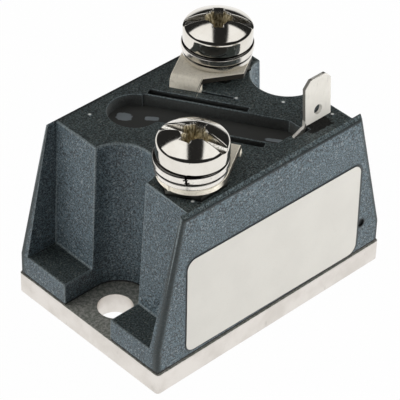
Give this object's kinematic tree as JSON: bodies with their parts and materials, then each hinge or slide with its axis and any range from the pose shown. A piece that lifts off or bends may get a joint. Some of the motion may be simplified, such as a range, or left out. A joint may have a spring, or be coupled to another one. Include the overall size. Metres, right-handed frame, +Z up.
{
  "type": "screw-terminal rectifier diode module",
  "caption": "Power rectifier diode in a moulded black housing on a flat metal base, with screw terminals on top, a push-on tab, end channels for mounting screws and a blank label.",
  "frame": {"origin": "centre of the base plate's underside", "axes": "+X along the length through both mounting holes, +Y away from the label side, +Z up from the base to the screws"},
  "size_m": [0.041, 0.0276, 0.034],
  "materials": {
    "base_metal": "nickel-plated copper, satin",
    "adhesive": "cured black adhesive",
    "housing_plastic": "black moulded plastic with a fine grain",
    "ceramic": "plain alumina",
    "copper": "bare copper",
    "disc_metal": "ground molybdenum",
    "silicon": "polished silicon",
    "strap_metal": "nickel-plated copper sheet",
    "tab_metal": "tinned brass sheet",
    "gel": "soft clear silicone gel",
    "casting_resin": "glossy black epoxy resin",
    "nut_steel": "zinc-plated steel",
    "washer_steel": "nickel-plated steel",
    "spring_steel": "nickel-plated spring steel",
    "screw_steel": "bright nickel-plated steel",
    "label_paper": "blank white label"
  },
  "bodies": {
    "root": {"base_plate": "base_metal", "bond_seal": "adhesive", "housing": "housing_plastic", "ceramic_insulator": "ceramic", "cathode_plate": "copper", "lower_disc": "disc_metal", "diode_chip": "silicon", "upper_disc": "disc_metal", "strap_cathode": "strap_metal", "strap_anode": "strap_metal", "tab_terminal": "tab_metal", "gel_fill": "gel", "epoxy_fill": "casting_resin", "nut_back": "nut_steel", "nut_front": "nut_steel", "flat_washer_back": "washer_steel", "flat_washer_front": "washer_steel", "spring_washer_back": "spring_steel", "spring_washer_front": "spring_steel", "screw_back": "screw_steel", "screw_front": "screw_steel", "label": "label_paper"}
  },
  "joints": []
}
